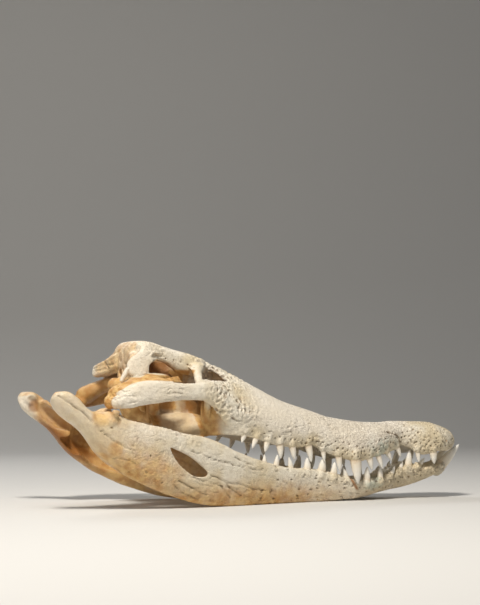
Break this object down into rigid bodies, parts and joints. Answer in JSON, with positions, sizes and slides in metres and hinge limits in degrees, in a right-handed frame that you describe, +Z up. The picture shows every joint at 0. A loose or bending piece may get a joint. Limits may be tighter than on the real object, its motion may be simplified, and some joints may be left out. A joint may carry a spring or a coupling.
{
  "type": "crocodile skull",
  "caption": "Still, life-size model of a crocodile's skull with its lower jaw in place, jaws nearly closed, bare ivory bone with conical teeth.",
  "frame": {"origin": "floor level, under the middle of the skull's length and width", "axes": "+X towards the snout's tip, +Y towards the animal's left side, +Z up"},
  "size_m": [0.5411, 0.2002, 0.1892],
  "materials": {
    "bone": "matt",
    "tooth": "satin"
  },
  "bodies": {
    "root": {"premaxilla": "bone", "snout": "bone", "skull_roof": "bone", "palate": "bone", "cheek_left": "bone", "cheek_right": "bone", "quadrate_left": "bone", "quadrate_right": "bone", "dentary_left": "bone", "dentary_right": "bone", "jaw_rear_left": "bone", "jaw_rear_right": "bone", "ear_bone": "bone"}
  },
  "joints": []
}
